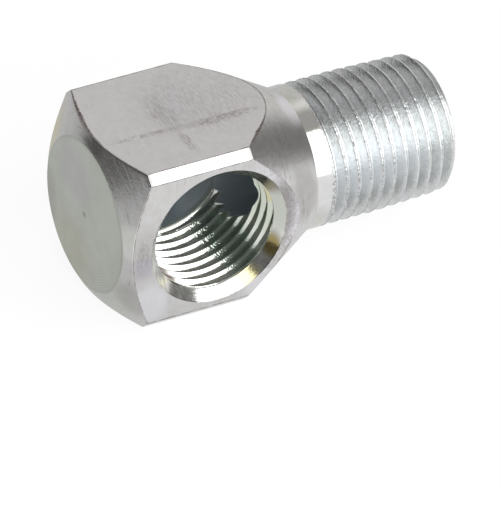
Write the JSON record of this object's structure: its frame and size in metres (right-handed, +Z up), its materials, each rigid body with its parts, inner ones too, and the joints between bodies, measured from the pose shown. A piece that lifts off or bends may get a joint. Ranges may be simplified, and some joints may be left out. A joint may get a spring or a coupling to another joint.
{
  "type": "elbow fitting",
  "caption": "Zinc-plated steel right-angle fitting from square bar, with a taper-threaded male stem, a threaded side port and a drilled waterway.",
  "frame": {"origin": "crossing of the stem's axis and the port's axis", "axes": "+X along the stem to its free end, port opens towards -Y, +Z up, the fitting lies on its -Z flat"},
  "size_m": [0.0268, 0.0126, 0.0126],
  "materials": {
    "zinc_plated_steel": "satin, as machined and bright zinc plated"
  },
  "bodies": {
    "root": {"elbow_body": "zinc_plated_steel"}
  },
  "joints": []
}
